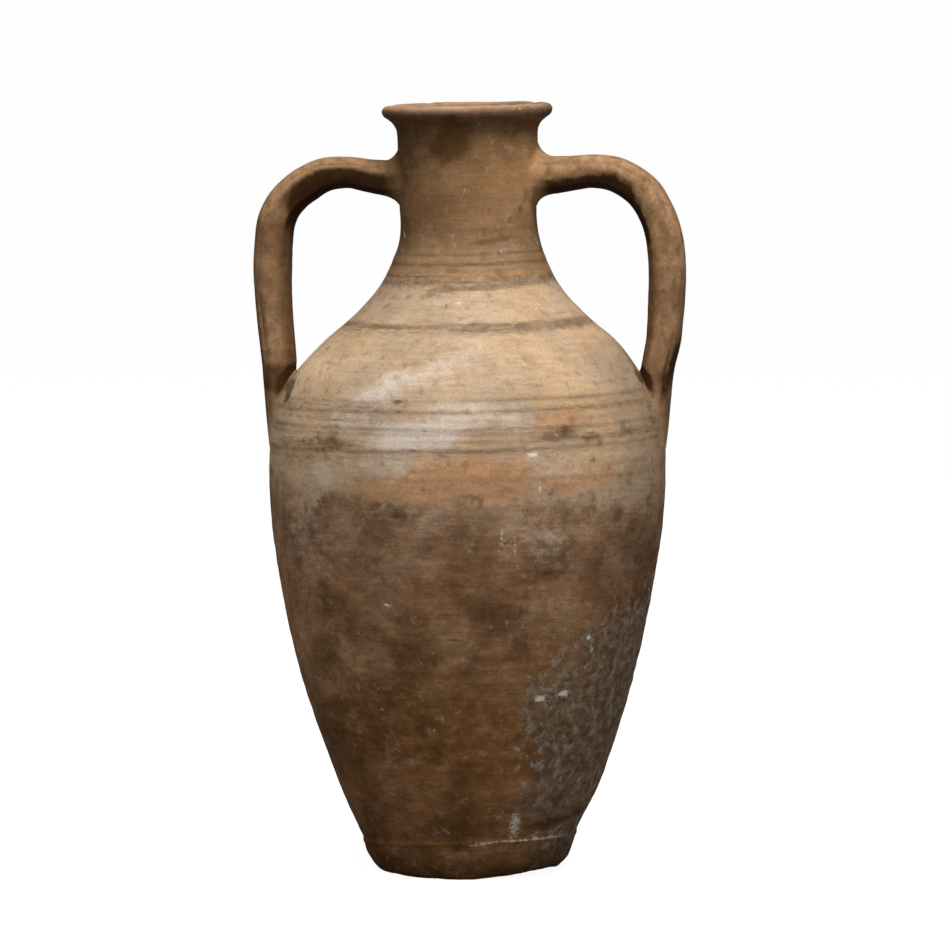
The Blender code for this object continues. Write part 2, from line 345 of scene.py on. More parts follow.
OVALNESS = 0.004
OVAL_TURN = 0.9
FOOT_LEAN = 2.1 * MM
NECK_BASE_LEAN = 1.9 * MM
NECK_LEAN = 0.9 * MM
BODY_TILT = 0.005
RIM_TILT = 0.0135


def settle(points):
    """The jar's lean, its rim's tilt and its wall's slight ovalness."""
    x, y, z = points[..., 0], points[..., 1], points[..., 2]
    angle = np.arctan2(y, x)
    belly = smoothstep(0.0, 0.2, z) * smoothstep(0.56, 0.4, z)
    oval = 1 + OVALNESS * belly * np.cos(2 * angle + OVAL_TURN)
    lean = FOOT_LEAN * smoothstep(0.19, 0.03, z) + NECK_LEAN * bell(z - 0.545, 0.03)
    lean = lean + NECK_BASE_LEAN * smoothstep(0.385, 0.42, z) * smoothstep(0.53, 0.49, z)
    tilt = RIM_TILT * smoothstep(0.555, 0.592, z) + BODY_TILT * smoothstep(0.1, 0.5, z)
    return np.stack([x * oval + lean, y * oval, z + tilt * x], axis=-1)


def turned_points(line):
    """Base points of a line turned round Z, with their outward directions."""
    angles = np.arange(COLUMNS) * math.tau / COLUMNS
    along = unit(np.gradient(line, axis=0))
    cos, sin = np.cos(angles)[None, :], np.sin(angles)[None, :]
    ones = np.ones_like(cos)
    radius, height = line[:, :1], line[:, 1:]
    base = np.stack([radius * cos, radius * sin, height * ones], axis=-1)
    out, up = -along[:, 1:], along[:, :1]
    normal = np.stack([out * cos, out * sin, up * ones], axis=-1)
    return base, normal


def wall_surface(base, normal):
    """Finished points of the outer wall for base points and their outward directions."""
    place = Place(base)
    height = relief(place) + lip_wear(place) + foot_wear(place) + root_swelling(place)
    moved = base + normal * (height * MM)[..., None]
    moved[..., 2] = moved[..., 2] + foot_rise(place) * MM
    moved[..., 2] = np.maximum(moved[..., 2], 0.0)
    return settle(moved)


# Where the straps are smeared onto the shoulder: level of the middle, half height and
# half width of the smear, and the height it stands up, in millimetres. Then the half
# height and half width of the smear on the neck.
SHOULDER_ROOT = (361.0, 31.0, 26.0)
SHOULDER_SWELLING = 0.9
NECK_ROOT_HALF = (24.0, 29.0)
ROOT_TURNS = (0.0, math.pi)


def root_swelling(place):
    """The clay smeared round the foot of each strap, in millimetres."""
    height = 0.0
    angle = np.arctan2(place.base[..., 1], place.base[..., 0])
    radius = np.hypot(place.base[..., 0], place.base[..., 1])
    level, half_high, half_wide = SHOULDER_ROOT
    for turn in ROOT_TURNS:
        across = (angle - turn + math.pi) % math.tau - math.pi
        across = across * radius / MM
        reach = np.hypot(across / half_wide, (place.level - level) / half_high)
        below = smoothstep(level + 30, level + 8, place.level)
        height = height + SHOULDER_SWELLING * smoothstep(1.5, 0.85, reach) * below
    return height


# ================================================================ meshes
def mesh_object(name, points, faces, normals):
    """A smooth mesh from points, groups of faces of one size, and a normal per point."""
    mesh = bpy.data.meshes.new(name)
    flat = np.asarray(points, np.float32)
    mesh.vertices.add(len(flat))
    mesh.vertices.foreach_set("co", flat.ravel())
    corners = np.concatenate([np.asarray(face, np.int32).ravel() for face in faces])
    sizes = np.concatenate([np.full(len(face), face.shape[1], np.int32) for face in faces])
    starts = np.concatenate([[0], np.cumsum(sizes)[:-1]]).astype(np.int32)
    mesh.loops.add(len(corners))
    mesh.loops.foreach_set("vertex_index", corners)
    mesh.polygons.add(len(sizes))
    mesh.polygons.foreach_set("loop_start", starts)
    mesh.update(calc_edges=True)
    mesh.validate()
    mesh.shade_smooth()
    mesh.normals_split_custom_set_from_vertices(normals)
    obj = bpy.data.objects.new(name, mesh)
    bpy.context.scene.collection.objects.link(obj)
    return obj


def ring_faces(rows, columns, wrap):
    """Quads over rows of points joined round, and from last row to first with wrap."""
    last = rows if wrap else rows - 1
    i = np.arange(last)[:, None]
    j = np.arange(columns)[None, :]
    below = (i + 1) % rows
    right = (j + 1) % columns
    quads = np.stack(
        [i * columns + j, below * columns + j, below * columns + right, i * columns + right],
        axis=-1,
    )
    return quads.reshape(-1, 4)


def end_fan(row_start, centre, columns, flip):
    """Triangles from a row of points to one middle point."""
    j = np.arange(columns)
    right = (j + 1) % columns
    first, second = (right, j) if flip else (j, right)
    middle = np.full(columns, centre)
    return np.stack([row_start + first, row_start + second, middle], axis=-1)


def grid_normals(grid):
    """Outward normals of a grid of points whose columns go round."""
    down = np.gradient(grid, axis=0)
    around = np.roll(grid, -1, axis=1) - np.roll(grid, 1, axis=1)
    return unit(np.cross(down, around))


def add_number(obj, name, values):
    attribute = obj.data.attributes.new(name, "FLOAT", "POINT")
    attribute.data.foreach_set("value", np.asarray(values, np.float32).ravel())


# ================================================================ building the wall
def outer_line():
    """The outside line, its rows evenly spaced within each section, and the joints."""
    line = smooth_line(THROAT_AND_LIP + WALL + FOOT) * MM
    over_the_lip = len(THROAT_AND_LIP) * LINE_STEPS // 2
    rim = cut_at(line, RIM_JOINT, over_the_lip)
    neck = cut_at(line, NECK_JOINT, over_the_lip)
    belly = cut_at(line, BELLY_JOINT, over_the_lip)
    foot = (len(THROAT_AND_LIP) + len(WALL)) * LINE_STEPS
    spacings = (
        (0, rim, 1.0 * MM),
        (rim, neck, 1.3 * MM),
        (neck, belly, 1.15 * MM),
        (belly, foot, 1.8 * MM),
        (foot, len(line) - 1, 1.0 * MM),
    )
    rows, joints = [], []
    for start, end, spacing in spacings:
        part = resampled(line[start : end + 1], spacing)
        rows.append(part[:-1])
        joints.append(sum(map(len, rows)))
    rows.append(line[-1:])
    return np.vstack(rows), joints


def inner_line():
    line = smooth_line(INSIDE) * MM
    cuts = [0]
    cuts += [cut_at(line, height) for height in (NECK_JOINT, BELLY_JOINT)]
    cuts.append(len(line) - 1)
    return [resampled(line[a : b + 1], INSIDE_SPACING) for a, b in zip(cuts, cuts[1:])]


def inside_surface(line):
    """The inside of the wall, with the rings left by the potter's fingers."""
    base, normal = turned_points(line)
    rings = value_noise(base * [0.1, 0.1, 1.0], 0.012, 51)
    height = 0.5 * rings + 0.5 * value_noise(base, 0.06, 52)
    fade = smoothstep(0.0, 0.02, np.hypot(base[..., 0], base[..., 1]))
    return settle(base - normal * (height * fade * MM)[..., None])


def wall_piece(name, outside, inside, place, outside_normals):
    """A closed ring of wall from rows of its outside and rows of its inside."""
    grid = np.concatenate([outside, inside[::-1]])
    normals = grid_normals(grid)
    normals[: len(outside)] = outside_normals
    faces = [ring_faces(len(grid), COLUMNS, True)]
    obj = mesh_object(name, grid.reshape(-1, 3), faces, normals.reshape(-1, 3))
    split = len(outside)
    paint_numbers(obj, place, len(grid), slice(0, split), slice(split, None), [])
    return obj


def lower_body(name, outside, inside, underside, place, outside_normals):
    """The belly with its floor: floor, inside wall, outside wall and underside."""
    grid = np.concatenate([inside[::-1], outside, underside[1:]])
    first = len(inside)
    count = len(grid)
    points = np.concatenate(
        [grid.reshape(-1, 3), inside[-1].mean(axis=0)[None], underside[-1].mean(axis=0)[None]]
    )
    faces = [
        ring_faces(count, COLUMNS, False),
        end_fan(0, count * COLUMNS, COLUMNS, False),
        end_fan((count - 1) * COLUMNS, count * COLUMNS + 1, COLUMNS, True),
    ]
    shown = slice(first, first + len(outside))
    normals = grid_normals(grid)
    normals[shown] = outside_normals
    poles = np.array([[0.0, 0.0, 1.0], [0.0, 0.0, -1.0]])
    obj = mesh_object(name, points, faces, np.concatenate([normals.reshape(-1, 3), poles]))
    paint_numbers(obj, place, count, shown, slice(0, first), [1.0, 0.0])
    return obj


def paint_numbers(obj, place, count, outside, inside, poles):
    """Stores the fields that the clay's material reads on each point of a wall piece.

    outside and inside say which of its rows are which, and poles says for each further
    point how far it lies inside.
    """
    for field, function in FIELDS.items():
        values = np.zeros((count, COLUMNS))
        values[outside] = function(place)
        add_number(obj, field, np.concatenate([values.ravel(), np.zeros(len(poles))]))
    inner = np.zeros((count, COLUMNS))
    inner[inside] = 1.0
    add_number(obj, "inside", np.concatenate([inner.ravel(), poles]))


# ================================================================ fields for the material
# Painted and smeared bands: level in front, rise to the right, half thickness in mm, the
# turns between which each shows, and strength.
BANDS = (
    (464.5, 1.0, 3.2, -180, 180, 0.85),
    (460.5, 4.0, 3.0, -30, 112, 1.00),
    (469.5, 1.0, 1.1, -120, -8, 0.80),
    (431.8, 1.5, 2.2, -180, 180, 0.90),
    (429.3, 2.5, 3.6, -12, 140, 1.00),
    (427.6, 1.0, 2.0, -170, 4, 0.45),
    (494.0, 6.0, 2.4, 0, 40, 1.00),
    (493.5, 2.0, 1.0, -40, 8, 0.50),
    (485.5, 0.8, 1.2, -180, 180, 0.65),
    (478.0, 0.8, 1.6, -180, 180, 0.70),
    (473.0, 1.5, 0.9, -60, 40, 0.50),
    (520.0, 1.5, 1.2, -40, 30, 0.45),
    (508.0, -2.0, 1.5, -60, 10, 0.35),
    (373.0, 2.0, 4.0, -88, -22, 0.50),
    (363.0, 1.5, 3.0, -84, -30, 0.45),
    (371.5, 1.5, 3.0, 2, 62, 0.42),
    (358.5, 1.5, 3.0, -14, 48, 0.32),
    (349.0, 2.0, 4.5, 14, 88, 0.50),
    (344.0, 2.0, 5.0, -80, -30, 0.60),
    (341.5, 2.0, 2.6, -24, 26, 0.45),
    (332.0, 2.0, 5.0, -70, -34, 0.40),
)

# Stains and worn places: turn, level, half width in degrees, half height in mm, slope in
# mm for each degree, and strength.
WASH = (
    (-13, 354, 17, 15, 0.3, 1.00),
    (-27, 386, 13, 13, 0.9, 0.90),
    (-10, 402, 16, 15, 0.8, 0.55),
    (2, 368, 22, 12, -0.2, 0.60),
    (-38, 362, 14, 11, 0.0, 0.55),
    (-26, 330, 16, 14, 0.0, 0.50),
    (-46, 322, 5, 12, -0.6, 0.55),
    (30, 327, 13, 10, 0.0, 0.40),
    (24, 272, 9, 18, 0.0, 0.34),
    (-56, 270, 12, 40, 0.0, 0.30),
    (-18, 292, 18, 9, 0.0, 0.22),
    (160, 372, 30, 26, 0.2, 0.80),
    (-120, 300, 16, 30, 0.4, 0.35),
)
OCHRE = (
    (-5, 318, 23, 17, 0.1, 1.00),
    (30, 364, 13, 9, 0.2, 0.52),
    (26, 409, 18, 12, 0.3, 0.30),
    (34, 319, 15, 14, 0.0, 0.55),
    (-62, 330, 12, 10, 0.0, 0.35),
    (118, 330, 34, 18, 0.2, 0.80),
    (-150, 398, 24, 12, 0.0, 0.40),
)
# Soot and dark stains, in the same form. Some rows are painted shadow, as marked.
SOOT_AND_PAINTED_SHADOWS = (
    (29, 352, 6, 5, 0.3, 0.70),
    (41, 348, 5, 8, 0.0, 0.60),
    (54, 353, 4, 10, 0.0, 0.55),
    (-44, 343, 12, 8, 0.0, 0.60),
    (-22, 377, 5, 2.5, 0.3, 0.85),
    # Painted shadow of the lip on the neck, deepest on the left.
    (-15, 571, 28, 19, 0.2, 0.95),
    (-64, 566, 26, 22, 0.0, 0.75),
    (-72, 498, 22, 24, 0.0, 0.60),
    # Painted shadow of the right strap on the neck.
    (52, 523, 15, 13, 0.9, 0.60),
    (-24, 508, 16, 10, 0.0, 0.35),
    (-18, 446, 5, 7, 0.0, 0.35),
    (-42, 224, 5, 7, 0.0, 0.60),
    (3, 217, 8, 9, 0.0, 0.55),
    (-4, 195, 3, 2, 0.0, 1.00),
    (2, 252, 11, 10, 0.0, 0.40),
    (48, 292, 4, 9, 0.0, 0.55),
    (58, 258, 10, 26, 0.0, 0.50),
    (40, 240, 12, 9, 0.4, 0.45),
    (55, 42, 26, 6, 0.2, 0.95),
    (-30, 66, 30, 26, 0.0, 0.45),
    (-4, 84, 7, 13, 0.0, 0.55),
    # Painted shadow along the foot's bottom edge on the right.
    (56, 12, 40, 12, 0.0, 0.85),
    (-60, 90, 26, 40, 0.0, 0.40),
    (-92, 502, 26, 20, 0.0, 0.62),
    # Painted shadow in the gaps where the straps meet the shoulder.
    (-80, 379, 4.5, 8, 0.0, 1.50),
    (78.5, 388, 4.2, 7, 0.0, 1.00),
    (-88, 386, 6, 14, 0.0, 0.80),
    (-33, 252, 9, 6, 0.1, 0.45),
    (-20, 168, 12, 8, 0.2, 0.40),
    (12, 120, 7, 5, -0.3, 0.45),
    (-36, 128, 8, 16, 0.0, 0.40),
    (-100, 352, 9, 24, 0.0, 0.60),
    (100, 352, 9, 24, 0.0, 0.60),
)
# Bright specks, drips and scratches, and a painted highlight along the ridge above the foot, in the
# same form.
MARKS = (
    (19, 337.5, 1.9, 1.6, 0.2, 1.00),
    (26, 338.0, 1.3, 1.2, 0.0, 0.60),
    (21, 311, 0.9, 2.6, 0.0, 0.70),
    (-25, 221, 1.4, 1.7, 0.0, 0.90),
    (-22, 214, 1.0, 2.4, 0.0, 0.45),
    (35, 150, 2.6, 2.8, 0.0, 0.95),
    (26, 147, 2.4, 2.6, 0.0, 1.00),
    (31, 148, 6.0, 5.0, 0.0, 0.35),
    (42, 193, 1.2, 2.4, -0.8, 0.90),
    (44, 184, 1.0, 3.4, -0.4, 0.60),
    (23, 190, 1.2, 1.4, 0.0, 0.60),
    (10, 276, 0.7, 9.0, 1.7, 0.50),
    (14, 266, 0.6, 8.0, -2.0, 0.50),
    (11, 268, 2.6, 9.0, 0.0, 0.30),
    (23, 42, 3.6, 15.0, -0.4, 0.62),
    # Painted highlight along the ridge above the foot.
    (34, 26.4, 36, 1.0, 0.0, 0.62),
    (4, 25.0, 7, 2.6, 0.0, 0.45),
    (-70, 500, 3.0, 0.9, -1.1, 1.00),
    (-57, 495, 1.6, 3.6, 1.2, 0.35),
    (-6, 449, 4.0, 1.0, -0.3, 0.60),
    (-34, 139, 7.0, 2.2, -0.7, 0.30),
    (20, 404, 1.2, 3.0, 0.6, 0.40),
)


def level_field(place):
    """Level in metres, with the slight waviness of work done on a slow wheel."""
    wave = 3.0 * value_noise(place.base, 0.08, 61) * smoothstep(586, 560, place.level)
    return (place.level - 1.5 * place.side + wave) * MM


def lines_field(place):
    total = 0.0
    for line in TURNED_LINES:
        total = total + line_strength(place, line, 2.1) * min(1.0, line[2] / 0.45)
    uneven = 0.78 + 0.45 * layered_noise(place.base * [1, 1, 2.5], 0.03, 67)
    return np.clip(total * uneven, 0.0, 1.0)


def pits_field(place):
    return smoothstep(0.55, 0.85, value_noise(place.base, 0.0065, 9))


def bands_field(place):
    """How far inside the nearest band a point is, from 0 outside to 1 in its middle."""
    total = np.zeros(place.level.shape)
    wander = 0.9 * value_noise(place.base * [1, 1, 0.3], 0.05, 62)
    for level, rise, half_thick, start, end, strength in BANDS:
        middle = level + rise * place.side + wander
        shown = shown_between(place, start, end, 3, 9)
        inside = 1 - np.abs(place.level - middle) / (1.7 * half_thick)
        total = np.maximum(total, np.clip(inside, 0, 1) * shown * strength)
    return total


def spots_field(spots, ragged, seed):
    """A field of ragged patches: 1 in their middles, falling to 0 past their edges."""

    def field(place):
        total = np.zeros(place.level.shape)
        rough = ragged * layered_noise(place.base, 0.022, seed)
        for turn, level, half_turn, half_level, slope, strength in spots:
            aside = place.around(turn)
            rise = place.level - level - slope * aside
            reach = np.hypot(aside / half_turn, rise / half_level) + rough
            total = np.maximum(total, strength * smoothstep(1.6, 0.2, reach))
        return total

    return field


def slip_field(place):
    """The pale slip from the neck's base down to the widest part of the belly."""
    low = 311 - 18 * smoothstep(10, 60, place.turn) * smoothstep(120, 70, place.turn)
    low = low + 12 * layered_noise(place.base, 0.05, 63)
    bottom = smoothstep(low - 30, low + 30, place.level)
    top = smoothstep(471, 458, place.level + 3 * value_noise(place.base, 0.03, 66))
    under = smoothstep(385, 345, place.level)
    limb = 1 - 0.35 * smoothstep(0.72, 0.98, -place.side) * under
    right = smoothstep(0.80, 0.98, place.side) * smoothstep(392, 372, place.level)
    limb = limb * (1 - 0.60 * right)
    return bottom * top * limb


def painted_sides_and_tone_field(place):
    """Broad lighter and darker sides of the clay, as a factor on its colour: painted light and
    shade, the neck lighter on the right and darker on the left, the belly lighter on the left and
    darker on the right, with some tone that differs at random.
    """
    neck = smoothstep(492, 525, place.level) * smoothstep(588, 574, place.level)
    body = smoothstep(430, 400, place.level) * smoothstep(130, 200, place.level)
    upper = smoothstep(512, 532, place.level)
    tone = 1 + neck * (0.26 * place.side + 0.30 * upper * smoothstep(0.5, 0.95, place.side))
    tone = tone + 0.34 * body * smoothstep(0.5, 0.97, -place.side)
    tone = tone - 0.22 * body * smoothstep(0.6, 0.97, place.side)
    return tone + 0.10 * layered_noise(place.base, 0.05, 64)


FIELDS = {
    "level": level_field,
    "turned_lines": lines_field,
    "pits": pits_field,
    "lime": lime_cover,
    "bands": bands_field,
    "wash": spots_field(WASH, 0.45, 81),
    "ochre": spots_field(OCHRE, 0.55, 84),
    "soot_and_painted_shadows": spots_field(SOOT_AND_PAINTED_SHADOWS, 0.6, 87),
    "marks": spots_field(MARKS, 0.25, 90),
    "slip": slip_field,
    "tone": painted_sides_and_tone_field,
}


# ================================================================ handles
def upright(pair):
    """A point or direction in the upright plane through both handles."""
    return np.array([pair[0], 0.0, pair[1]])


def ring_up():
    """How far each point of a ring lies to its outer side, from -1 to 1."""
    angle = np.arange(STRAP_SIDES) * math.tau / STRAP_SIDES
    return np.cos(angle)


def strap_ring(row, across):
    """A rounded oblong section round a point of the strap's line."""
    angle = np.arange(STRAP_SIDES) * math.tau / STRAP_SIDES
    cos, sin = np.cos(angle), np.sin(angle)
    power = 2 / STRAP_SQUARENESS
    thick = row[2] * np.sign(cos) * np.abs(cos) ** power
    wide = row[3] * np.sign(sin) * np.abs(sin) ** power
    sideways = np.array([0.0, 1.0, 0.0])
    return upright(row) + thick[:, None] * upright(across) + wide[:, None] * sideways


def wall_radius(height):
    falling = OUTER_LINE[WALL_ROWS]
    return np.interp(-height, -falling[:, 1], falling[:, 0])


def wall_point(angle, height):
    """Finished point of the wall at angles and heights, and its outward direction."""
    falling = OUTER_LINE[WALL_ROWS]
    radius = wall_radius(height)
    slope = np.interp(-height, -falling[:, 1], np.gradient(falling[:, 0], falling[:, 1]))
    base = np.stack([radius * np.cos(angle), radius * np.sin(angle), height], axis=-1)
    normal = unit(np.stack([np.cos(angle), np.sin(angle), -slope], axis=-1))
    return wall_surface(base, normal), normal


def root_rings(ring, heading, side, smear, bulge):
    """Rings from a strap's end ring to its smear on the wall, then into the wall.

    A smear's half height is below zero where the strap's outer side meets the wall low.
    """
    level, half_high, half_wide = smear
    angle = np.arange(STRAP_SIDES) * math.tau / STRAP_SIDES
    height = level + ring_up() * half_high
    centre_turn = 0.0 if side > 0 else math.pi
    turn = centre_turn + side * np.sin(angle) * half_wide / wall_radius(height)
    foot, normal = wall_point(turn, height)
    middle, _ = wall_point(np.array([centre_turn]), np.array([level]))
    away = foot - middle
    away = unit(away - normal * np.sum(away * normal, axis=-1, keepdims=True))
    span = np.linalg.norm(foot - ring, axis=-1, keepdims=True)
    leave = heading * span * bulge[0]
    arrive = (away - normal * 0.25) * span * bulge[1]
    rings = []
    for t in np.linspace(0, 1, ROOT_RINGS)[1:]:
        a, b = 2 * t**3 - 3 * t**2 + 1, t**3 - 2 * t**2 + t
        c, d = -2 * t**3 + 3 * t**2, t**3 - t**2
        rings.append(ring * a + leave * b + foot * c + arrive * d)
    rings.append(foot + away * 1.5 * MM - normal * 1.6 * MM)
    rings.append(middle + (foot - middle) * 0.8 - normal * 3.6 * MM)
    return rings, normal


def strap_normals(grid, neck_out, shoulder_out):
    """A strap's outward normals, turning into the wall's own where it is smeared on."""
    normals = grid_normals(grid)
    away = grid - grid.mean(axis=1, keepdims=True)
    normals = normals * np.sign(np.sum(normals * away))
    rows = np.arange(len(grid))[:, None, None]
    for from_end, wall in ((rows, neck_out), (len(grid) - 1 - rows, shoulder_out)):
        near = smoothstep(11, 3, from_end)
        normals = unit(normals * (1 - near) + wall * near)
    return normals


def roughened(grid):
    """Hand-made unevenness of a strap, fading out where it meets the wall."""
    centre = grid.mean(axis=1, keepdims=True)
    outward = unit(grid - centre)
    height = 0.7 * value_noise(grid, 0.045, 71) + 0.3 * value_noise(grid, 0.016, 72)
    height = height + 0.1 * value_noise(grid, 0.005, 73)
    angle = np.degrees(np.arange(STRAP_SIDES) * math.tau / STRAP_SIDES)
    wander = 6 * value_noise(grid, 0.05, 74)
    patchy = 0.65 + 0.5 * value_noise(grid, 0.035, 75)
    for middle, half_width, rise in STRAP_CREASES:
        away = (angle - middle + wander + 180) % 360 - 180
        height = height + rise * bell(away, half_width) * patchy
    rows = np.arange(len(grid))[:, None]
    fade = smoothstep(2, ROOT_ROWS * 0.8, rows)
    fade = fade * smoothstep(len(grid) - 3, len(grid) - ROOT_ROWS * 0.6, rows)
    return settle(grid) + outward * (height * fade * MM)[..., None]


def strap_grid(route, side):
    """Rings of points along a strap and its roots, and the outward normals."""
    line = resampled(smooth_line(np.array(route) * MM), STRAP_SPACING)
    line[:, 0] *= side
    along = unit(np.gradient(line[:, :2], axis=0))
    across = np.stack([-along[:, 1] * side, along[:, 0] * side], axis=-1)
    rings = [strap_ring(row, out) for row, out in zip(line, across)]
    smear = np.array([route[0][1], *NECK_ROOT_HALF]) * MM
    neck, neck_out = root_rings(rings[0], -upright(along[0]), side, smear, NECK_BULGE)
    smear = np.array(SHOULDER_ROOT) * MM * [1, -1, 1]
    heading = upright(along[-1])
    shoulder, shoulder_out = root_rings(rings[-1], heading, side, smear, SHOULDER_BULGE)
    grid = roughened(np.array([*neck[::-1], *rings, *shoulder]))
    return grid, strap_normals(grid, neck_out, shoulder_out)


def strap_fields(grid, outward, side):
    """How far each point is strap and not wall, in painted shade underneath and in the corner at
    the shoulder's root, and on the inner side, which is painted in shade too.
    """
    count = len(grid)
    row = np.arange(count)[:, None] * np.ones((1, STRAP_SIDES))
    strap = smoothstep(ROOT_ROWS * 0.2, ROOT_ROWS * 0.9, row)
    strap = strap * smoothstep(count - 3, count - ROOT_ROWS * 0.5, row)
    rise = np.gradient(grid.mean(axis=1), axis=0)
    level_run = np.abs(unit(rise)[:, :1]) ** 2
    facing = ring_up()[None, :] + 0.18 * value_noise(grid, 0.03, 76)
    light, dark, start, end = STRAP_SHADE[side]
    shaded = smoothstep(light, dark, facing) * smoothstep(start, end, level_run)
    # Painted shade where the strap faces down and on the front of each arch.
    under = np.maximum(smoothstep(0.10, -0.55, outward[..., 2]), shaded)
    # Painted shadow in the corner where the strap meets the shoulder.
    corner = bell(row - (count - 0.68 * ROOT_ROWS), 5) * smoothstep(0.40, -0.5, facing)
    under = np.maximum(under, 0.8 * corner)
    return {"strap": strap, "under": under, "inner_side": smoothstep(0.12, -0.75, facing)}


def make_handle(name, route, side):
    grid, outward = strap_grid(route, side)
    count = len(grid)
    points = np.concatenate([grid.reshape(-1, 3), grid[[0, -1]].mean(axis=1)])
    ends = unit(outward[[0, -1]].mean(axis=1))
    flip = side < 0
    quads = ring_faces(count, STRAP_SIDES, False)
    faces = [
        quads[:, ::-1] if flip else quads,
        end_fan(0, count * STRAP_SIDES, STRAP_SIDES, flip),
        end_fan((count - 1) * STRAP_SIDES, count * STRAP_SIDES + 1, STRAP_SIDES, not flip),
    ]
    obj = mesh_object(name, points, faces, np.concatenate([outward.reshape(-1, 3), ends]))
    place = Place(points)
    for field, function in FIELDS.items():
        add_number(obj, field, function(place))
    for field, values in strap_fields(grid, outward, side).items():
        add_number(obj, field, np.concatenate([values.ravel(), [0.0, 0.0]]))
    return obj


# ================================================================ materials
# Clay by level in mm: red, green and blue. Darker at the lowest level as painted shadow at the
# foot's bottom edge, and lighter at the top as painted light on the lip's upper face.
CLAY_BY_LEVEL = (
    (0, (0.150, 0.072, 0.028)),
    (60, (0.290, 0.140, 0.060)),
    (112, (0.222, 0.104, 0.040)),
    (150, (0.260, 0.130, 0.056)),
    (190, (0.275, 0.150, 0.074)),
    (240, (0.265, 0.140, 0.072)),
    (285, (0.305, 0.182, 0.104)),
    (325, (0.350, 0.205, 0.110)),
    (372, (0.370, 0.225, 0.125)),
    (450, (0.360, 0.215, 0.115)),
    (472, (0.335, 0.198, 0.102)),
    (492, (0.270, 0.156, 0.078)),
    (520, (0.310, 0.175, 0.084)),
    (552, (0.318, 0.175, 0.082)),
    (572, (0.225, 0.123, 0.058)),
    (596, (0.138, 0.077, 0.042)),
    (600, (0.420, 0.255, 0.155)),
)
TOP_LEVEL = 0.602
SLIP = (0.490, 0.348, 0.226)
SLIP_WARM = (0.520, 0.345, 0.205)
SLIP_GREY = (0.420, 0.322, 0.228)
WASH_COLOUR = (0.680, 0.585, 0.490)
OCHRE_COLOUR = (0.515, 0.282, 0.146)
BAND_COLOUR = (0.135, 0.088, 0.050)
GROOVE_COLOUR = (0.165, 0.094, 0.048)
SOOT_AND_SHADOW_COLOUR = (0.075, 0.038, 0.014)
LIME_DARK = (0.185, 0.124, 0.080)
LIME_MID = (0.290, 0.215, 0.150)
LIME_PALE = (0.520, 0.440, 0.350)
SPECK_AND_HIGHLIGHT_COLOUR = (0.780, 0.700, 0.610)
STRAP_COLOUR = (0.250, 0.140, 0.068)
STRAP_WORN = (0.440, 0.258, 0.142)
STRAP_PAINTED_SHADE = (0.034, 0.017, 0.006)
INSIDE_COLOUR = (0.220, 0.125, 0.065)
# Taken off every colour, and the least of each channel that is left.
COLOUR_TAKEN = (0.016, 0.015, 0.014)
COLOUR_LEAST = (0.006, 0.003, 0.001)
CLAY_SHINE = 0.2
BUMP_STRENGTH = 0.55
BUMP_HEIGHT = 0.45 * MM


